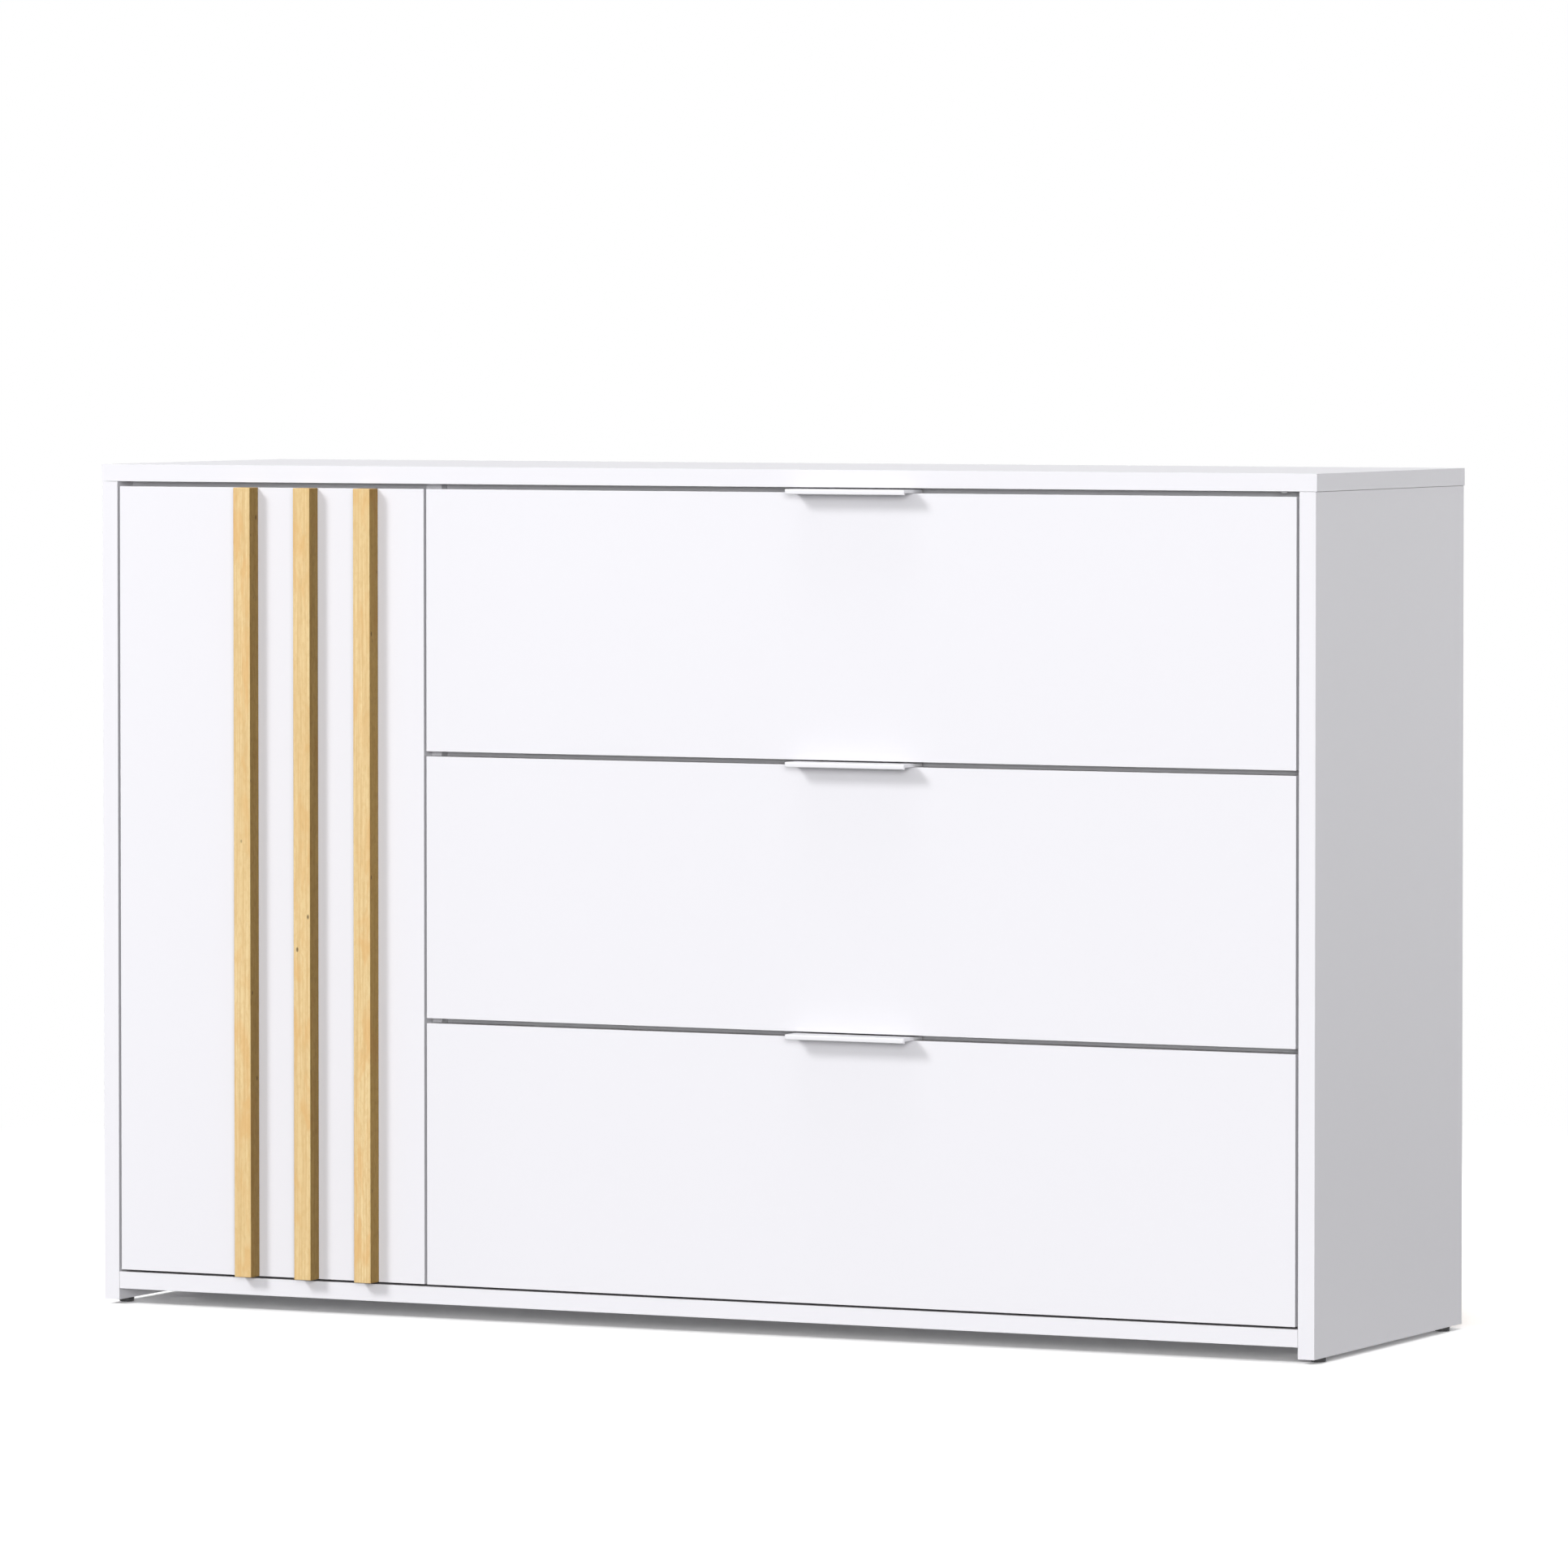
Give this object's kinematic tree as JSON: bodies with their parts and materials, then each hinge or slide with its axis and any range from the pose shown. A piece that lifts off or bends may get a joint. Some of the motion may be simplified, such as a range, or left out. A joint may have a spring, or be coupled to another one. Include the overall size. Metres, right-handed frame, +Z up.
{
  "type": "sideboard buffet",
  "caption": "White sideboard with a hinged door trimmed with vertical oak slats, a stack of wide drawers with edge handles, inner shelves and low floor glides.",
  "frame": {"origin": "centre of the overall footprint (handles included) on the floor", "axes": "+X to the viewer's right along the length, +Y to the back, +Z up; the door and the drawers face -Y"},
  "size_m": [1.4, 0.4224, 0.895],
  "materials": {
    "white_board": "white melamine-faced particleboard, smooth satin",
    "oak": "natural oak, matt clear coat, straight grain",
    "drawer_board": "white foil-wrapped particleboard, satin",
    "hardboard": "thin hardboard, white lacquer on the inside, bare brown on the back",
    "white_metal": "white powder coat, satin",
    "zinc_steel": "zinc-plated pressed steel",
    "black_plastic": "moulded, matt",
    "white_plastic": "moulded, satin"
  },
  "bodies": {
    "carcass": {"top_panel": "white_board", "bottom_panel": "white_board", "left_side_panel": "white_board", "right_side_panel": "white_board", "divider_panel": "white_board", "back_panel_left": "hardboard", "back_panel_right": "hardboard", "shelf_1": "white_board", "shelf_2": "white_board", "glide_front_left": "black_plastic", "glide_front_right": "black_plastic", "glide_back_left": "black_plastic", "glide_back_right": "black_plastic", "bumper_pad": "white_plastic", "lower_hinge_plate": "zinc_steel", "lower_hinge_arm": "zinc_steel", "upper_hinge_plate": "zinc_steel", "upper_hinge_arm": "zinc_steel", "bottom_left_slide_outer_rail": "zinc_steel", "bottom_right_slide_outer_rail": "zinc_steel", "middle_left_slide_outer_rail": "zinc_steel", "middle_right_slide_outer_rail": "zinc_steel", "top_left_slide_outer_rail": "zinc_steel", "top_right_slide_outer_rail": "zinc_steel"},
    "door": {"door_panel": "white_board", "door_slat_1": "oak", "door_slat_2": "oak", "door_slat_3": "oak", "lower_hinge_cup": "zinc_steel", "upper_hinge_cup": "zinc_steel"},
    "bottom_drawer": {"bottom_drawer_front": "white_board", "bottom_drawer_left_side": "drawer_board", "bottom_drawer_right_side": "drawer_board", "bottom_drawer_back": "drawer_board", "bottom_drawer_bottom": "hardboard", "bottom_drawer_handle": "white_metal", "bottom_left_slide_inner_rail": "zinc_steel", "bottom_right_slide_inner_rail": "zinc_steel"},
    "bottom_drawer_middle_rails": {"bottom_left_slide_middle_rail": "zinc_steel", "bottom_right_slide_middle_rail": "zinc_steel"},
    "middle_drawer": {"middle_drawer_front": "white_board", "middle_drawer_left_side": "drawer_board", "middle_drawer_right_side": "drawer_board", "middle_drawer_back": "drawer_board", "middle_drawer_bottom": "hardboard", "middle_drawer_handle": "white_metal", "middle_left_slide_inner_rail": "zinc_steel", "middle_right_slide_inner_rail": "zinc_steel"},
    "middle_drawer_middle_rails": {"middle_left_slide_middle_rail": "zinc_steel", "middle_right_slide_middle_rail": "zinc_steel"},
    "top_drawer": {"top_drawer_front": "white_board", "top_drawer_left_side": "drawer_board", "top_drawer_right_side": "drawer_board", "top_drawer_back": "drawer_board", "top_drawer_bottom": "hardboard", "top_drawer_handle": "white_metal", "top_left_slide_inner_rail": "zinc_steel", "top_right_slide_inner_rail": "zinc_steel"},
    "top_drawer_middle_rails": {"top_left_slide_middle_rail": "zinc_steel", "top_right_slide_middle_rail": "zinc_steel"}
  },
  "joints": [
    {"name": "door_swing", "type": "hinge", "parent": "carcass", "child": "door", "pos_m": [-0.6795, -0.18615, 0.45455], "axis": [0, 0, -1], "range_deg": [0, 105]},
    {"name": "bottom_drawer_slide", "type": "slide", "parent": "carcass", "child": "bottom_drawer", "axis": [0, -1, 0], "range_m": [0, 0.34]},
    {"name": "bottom_middle_rails_slide", "type": "slide", "parent": "carcass", "child": "bottom_drawer_middle_rails", "axis": [0, -1, 0], "range_m": [0, 0.17]},
    {"name": "middle_drawer_slide", "type": "slide", "parent": "carcass", "child": "middle_drawer", "axis": [0, -1, 0], "range_m": [0, 0.34]},
    {"name": "middle_middle_rails_slide", "type": "slide", "parent": "carcass", "child": "middle_drawer_middle_rails", "axis": [0, -1, 0], "range_m": [0, 0.17]},
    {"name": "top_drawer_slide", "type": "slide", "parent": "carcass", "child": "top_drawer", "axis": [0, -1, 0], "range_m": [0, 0.34]},
    {"name": "top_middle_rails_slide", "type": "slide", "parent": "carcass", "child": "top_drawer_middle_rails", "axis": [0, -1, 0], "range_m": [0, 0.17]}
  ],
  "couplings": [
    {"joint": "bottom_middle_rails_slide", "follows": "bottom_drawer_slide", "ratio": 0.5},
    {"joint": "middle_middle_rails_slide", "follows": "middle_drawer_slide", "ratio": 0.5},
    {"joint": "top_middle_rails_slide", "follows": "top_drawer_slide", "ratio": 0.5}
  ]
}
